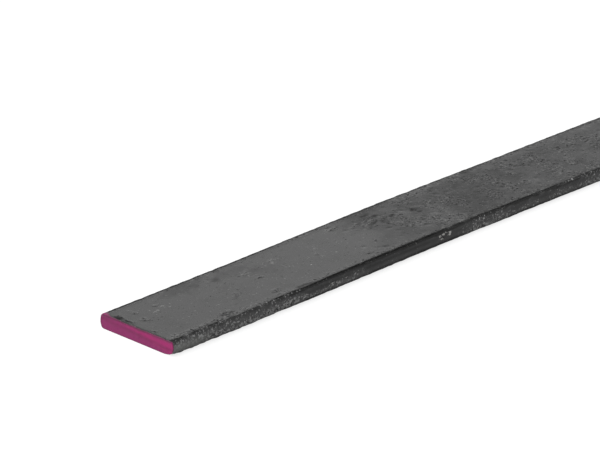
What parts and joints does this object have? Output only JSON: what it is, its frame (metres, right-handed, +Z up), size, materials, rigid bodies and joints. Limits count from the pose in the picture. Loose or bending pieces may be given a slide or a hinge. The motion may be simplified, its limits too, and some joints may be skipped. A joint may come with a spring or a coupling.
{
  "type": "steel flat bar",
  "caption": "Length of hot-rolled steel flat bar with rounded, crowned rolled edges, cropped square, one end painted with a colour mark.",
  "frame": {"origin": "middle of the bar's underside, on which it lies", "axes": "+X along the bar, away from the painted end; +Y across its width; +Z up through its thickness"},
  "size_m": [1, 0.025, 0.004],
  "materials": {
    "mill_scale_steel": "hot-rolled mild steel under its dark grey mill scale, satin on the faces and grainy on the edges",
    "marking_paint": "thin satin coat of magenta marking paint on the near end"
  },
  "bodies": {
    "root": {"flat_bar": "mill_scale_steel"}
  },
  "joints": []
}
